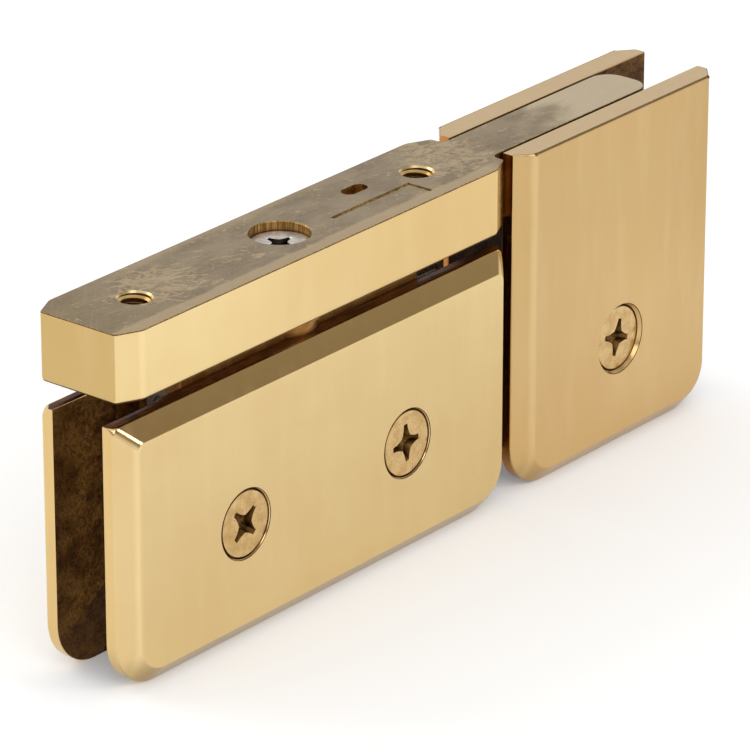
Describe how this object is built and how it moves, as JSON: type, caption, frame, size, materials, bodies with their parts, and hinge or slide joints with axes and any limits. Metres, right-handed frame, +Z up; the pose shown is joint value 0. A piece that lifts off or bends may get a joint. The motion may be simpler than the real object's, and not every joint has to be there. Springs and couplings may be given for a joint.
{
  "type": "pivot hinge",
  "caption": "Brass pivot hinge for a frameless glass door: header bar with pivot pin, swinging door clamp, and a fixed U-clamp on its tongue.",
  "frame": {"origin": "on the pivot axis, in the header bar's mounting face, midway between its two threaded fixing holes", "axes": "+X along the bar towards the U-clamp, +Y towards the back plates (the screw heads face -Y), +Z up, out of the mounting face"},
  "size_m": [0.1434, 0.0192, 0.057],
  "materials": {
    "cast_brass": "polished sides and ends, raw sand-cast mounting face",
    "plate_brass": "polished outer faces, raw brown inner faces",
    "screw_brass": "brass plated, lightly turned",
    "body_brass": "rough machined",
    "bush_bronze": "sintered bronze",
    "bright_steel": "bright nickel plate",
    "ground_steel": "ground",
    "spring_steel": "oiled spring steel",
    "nylon": "plain nylon"
  },
  "bodies": {
    "header": {"header_block": "cast_brass", "pivot_pin": "ground_steel", "pin_screw": "bright_steel", "thrust_washer": "nylon", "retaining_ring": "spring_steel", "u_front_plate": "plate_brass", "u_back_plate": "plate_brass", "u_clamp_screw": "screw_brass", "tongue_dowel_left": "ground_steel", "tongue_dowel_right": "ground_steel"},
    "door_clamp": {"pivot_body": "body_brass", "upper_bush": "bush_bronze", "lower_bush": "bush_bronze", "detent_spring_left": "spring_steel", "detent_spring_right": "spring_steel", "detent_plug_left": "ground_steel", "detent_plug_right": "ground_steel", "door_front_plate": "plate_brass", "door_back_plate": "plate_brass", "door_screw_left": "screw_brass", "door_screw_right": "screw_brass"},
    "plunger_left": {"detent_plunger_left": "ground_steel"},
    "plunger_right": {"detent_plunger_right": "ground_steel"}
  },
  "joints": [
    {"name": "door_swing", "type": "hinge", "parent": "header", "child": "door_clamp", "pos_m": [0, 0, 0], "axis": [0, 0, 1], "range_deg": [-90, 90]},
    {"name": "plunger_left_slide", "type": "slide", "parent": "door_clamp", "child": "plunger_left", "axis": [1, 0, 0], "range_m": [0, 0.0005], "stiffness_N_per_m": 400, "springref_m": 0.004, "deforming": ["detent_spring_left"]},
    {"name": "plunger_right_slide", "type": "slide", "parent": "door_clamp", "child": "plunger_right", "axis": [-1, 0, 0], "range_m": [0, 0.0005], "stiffness_N_per_m": 400, "springref_m": 0.004, "deforming": ["detent_spring_right"]}
  ]
}
